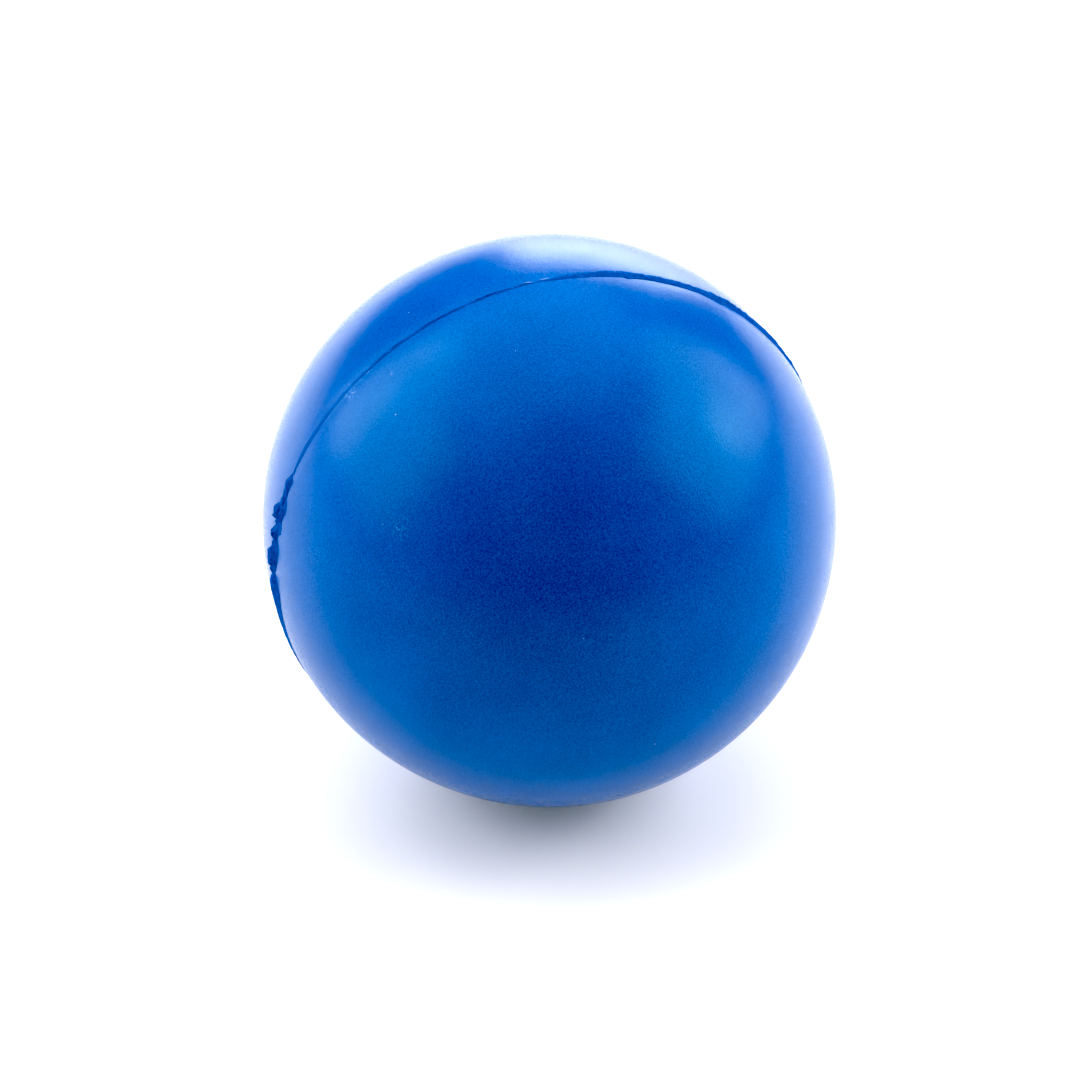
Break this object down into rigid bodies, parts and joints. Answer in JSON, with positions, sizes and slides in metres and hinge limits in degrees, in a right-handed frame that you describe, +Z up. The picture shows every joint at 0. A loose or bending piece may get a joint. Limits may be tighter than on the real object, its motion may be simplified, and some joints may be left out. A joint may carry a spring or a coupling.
{
  "type": "stress ball",
  "caption": "Round squeezable foam stress ball with a smooth integral skin, a mould seam and trimmed flash.",
  "frame": {"origin": "centre of the ball", "axes": "+Z up; the mould's parting plane is XZ, so the seam is the great circle y = 0; -Y is the front half, which is pressed in along +Y when the ball is squeezed"},
  "size_m": [0.0636, 0.063, 0.0633],
  "materials": {
    "skin": "satin",
    "bare_foam": "matte",
    "core_foam": "matte"
  },
  "bodies": {
    "rear_half": {"rear_skin": "skin", "foam_core": "core_foam", "parting_seam": "bare_foam", "upper_flash": "bare_foam", "torn_flash": "bare_foam", "cut_flash": "bare_foam"},
    "front_half": {"front_skin": "skin"}
  },
  "joints": [
    {"name": "squeeze", "type": "slide", "parent": "rear_half", "child": "front_half", "axis": [0, 1, 0], "range_m": [0, 0.025], "stiffness_N_per_m": 1500, "deforming": ["front_skin", "rear_skin", "foam_core", "parting_seam", "upper_flash", "torn_flash", "cut_flash"]}
  ]
}
